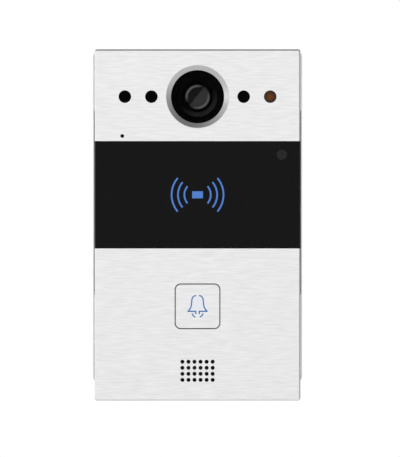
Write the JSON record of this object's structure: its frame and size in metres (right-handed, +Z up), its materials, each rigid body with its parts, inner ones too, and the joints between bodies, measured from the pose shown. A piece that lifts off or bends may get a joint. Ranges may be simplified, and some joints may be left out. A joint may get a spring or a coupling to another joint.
{
  "type": "door intercom panel",
  "caption": "Wall-mounted door entry panel with a camera, card reader window, illuminated call button, speaker grille, network socket and hook-on bracket.",
  "frame": {"origin": "on the wall plane, behind the middle of the face plate's height and width", "axes": "+X to the right as a visitor sees the panel, +Y into the wall, +Z up"},
  "size_m": [0.105, 0.035, 0.176],
  "materials": {
    "face_aluminium": "fine horizontal brushing, clear anodised",
    "bezel_aluminium": "satin turned, clear anodised",
    "black_acrylic": "gloss black with bevelled ends",
    "blue_guide": "translucent blue light guide",
    "infrared_window": "gloss, black to the eye",
    "amber_window": "gloss dark brown, translucent",
    "smoked_lens": "gloss smoked grey",
    "camera_glass": "clear coated glass",
    "lens_glass": "coated optical glass",
    "filter_glass": "tinted optical glass",
    "black_plastic": "fine moulded texture",
    "housing_black": "moulded, light spark texture",
    "housing_silver": "die-cast, silver powder coat",
    "stainless": "brushed sheet",
    "screw_steel": "bright zinc",
    "seal_rubber": "matt moulded rubber",
    "silicone": "translucent grey silicone",
    "board": "green solder mask",
    "copper": "flat copper under lacquer",
    "gold_contact": "gold flash",
    "component": "moulded epoxy and sleeves",
    "heat_sink": "black anodised, extruded",
    "sensor_disc": "clear over a light-sensitive track",
    "diode_lens": "smoked epoxy",
    "chip_diode": "pale blue chip diodes",
    "link_lamp": "yellow-green lamp windows",
    "can_metal": "drawn can",
    "magnet_steel": "nickel plated yoke",
    "cone_film": "thin pressed film",
    "mesh": "black acoustic mesh",
    "jack_shell": "nickel plated shell",
    "connector_green": "moulded connector green",
    "ribbon": "white film over tinned tracks"
  },
  "bodies": {
    "station": {"upper_face_plate": "face_aluminium", "lower_face_plate": "face_aluminium", "reader_window": "black_acrylic", "reader_symbol": "blue_guide", "proximity_sensor_lens": "smoked_lens", "camera_bezel_ring": "bezel_aluminium", "camera_window": "camera_glass", "camera_hood": "black_plastic", "lens_barrel": "black_plastic", "lens_front_element": "lens_glass", "lens_inner_elements": "lens_glass", "lens_holder": "black_plastic", "camera_board": "board", "camera_ribbon": "ribbon", "ir_windows": "infrared_window", "light_sensor_window": "amber_window", "ir_leds": "diode_lens", "light_sensor": "sensor_disc", "sensor_board": "board", "microphone": "can_metal", "microphone_boot": "seal_rubber", "reader_antenna_board": "board", "reader_antenna_coil": "copper", "button_seal": "silicone", "switch_body": "component", "button_board": "board", "indicator_leds": "chip_diode", "speaker_mesh": "mesh", "speaker_gasket": "seal_rubber", "speaker_frame": "black_plastic", "speaker_magnet": "magnet_steel", "speaker_surround": "seal_rubber", "main_board": "board", "board_components": "component", "heat_sink": "heat_sink", "network_jack": "jack_shell", "network_jack_contacts": "gold_contact", "network_jack_lamps": "link_lamp", "terminal_header": "connector_green", "terminal_plug": "connector_green", "terminal_screws": "screw_steel", "tamper_switch": "component", "tamper_spring": "screw_steel", "cable_clamp": "black_plastic", "front_housing": "housing_black", "housing_gasket": "seal_rubber", "rear_housing": "housing_silver", "housing_screws": "screw_steel", "board_screws": "screw_steel", "wall_bracket": "stainless", "security_screw": "screw_steel"},
    "call_button": {"call_button_cap": "face_aluminium", "call_button_icon": "blue_guide", "call_button_carrier": "black_plastic"},
    "switch_plunger": {"switch_plunger": "black_plastic"},
    "tamper_plunger": {"tamper_plunger": "black_plastic"},
    "ir_cut_filter": {"ir_cut_tray": "black_plastic", "ir_cut_filters": "filter_glass"},
    "speaker_cone": {"speaker_diaphragm": "cone_film", "speaker_voice_coil": "copper"}
  },
  "joints": [
    {"name": "call_button_press", "type": "slide", "parent": "station", "child": "call_button", "axis": [0, 1, 0], "range_m": [0, 0.0005], "stiffness_N_per_m": 1500, "deforming": ["button_seal"]},
    {"name": "switch_plunger_press", "type": "slide", "parent": "station", "child": "switch_plunger", "axis": [0, 1, 0], "range_m": [0, 0.0005]},
    {"name": "tamper_pin_press", "type": "slide", "parent": "station", "child": "tamper_plunger", "axis": [0, -1, 0], "range_m": [0, 0.0012], "stiffness_N_per_m": 60, "deforming": ["tamper_spring"]},
    {"name": "ir_cut_filter_slide", "type": "slide", "parent": "station", "child": "ir_cut_filter", "axis": [-1, 0, 0], "range_m": [0, 0.0066]},
    {"name": "speaker_cone_move", "type": "slide", "parent": "station", "child": "speaker_cone", "axis": [0, -1, 0], "range_m": [-0.00025, 0.00025], "stiffness_N_per_m": 400, "deforming": ["speaker_surround"]}
  ],
  "couplings": [
    {"joint": "switch_plunger_press", "follows": "call_button_press", "ratio": 1}
  ]
}
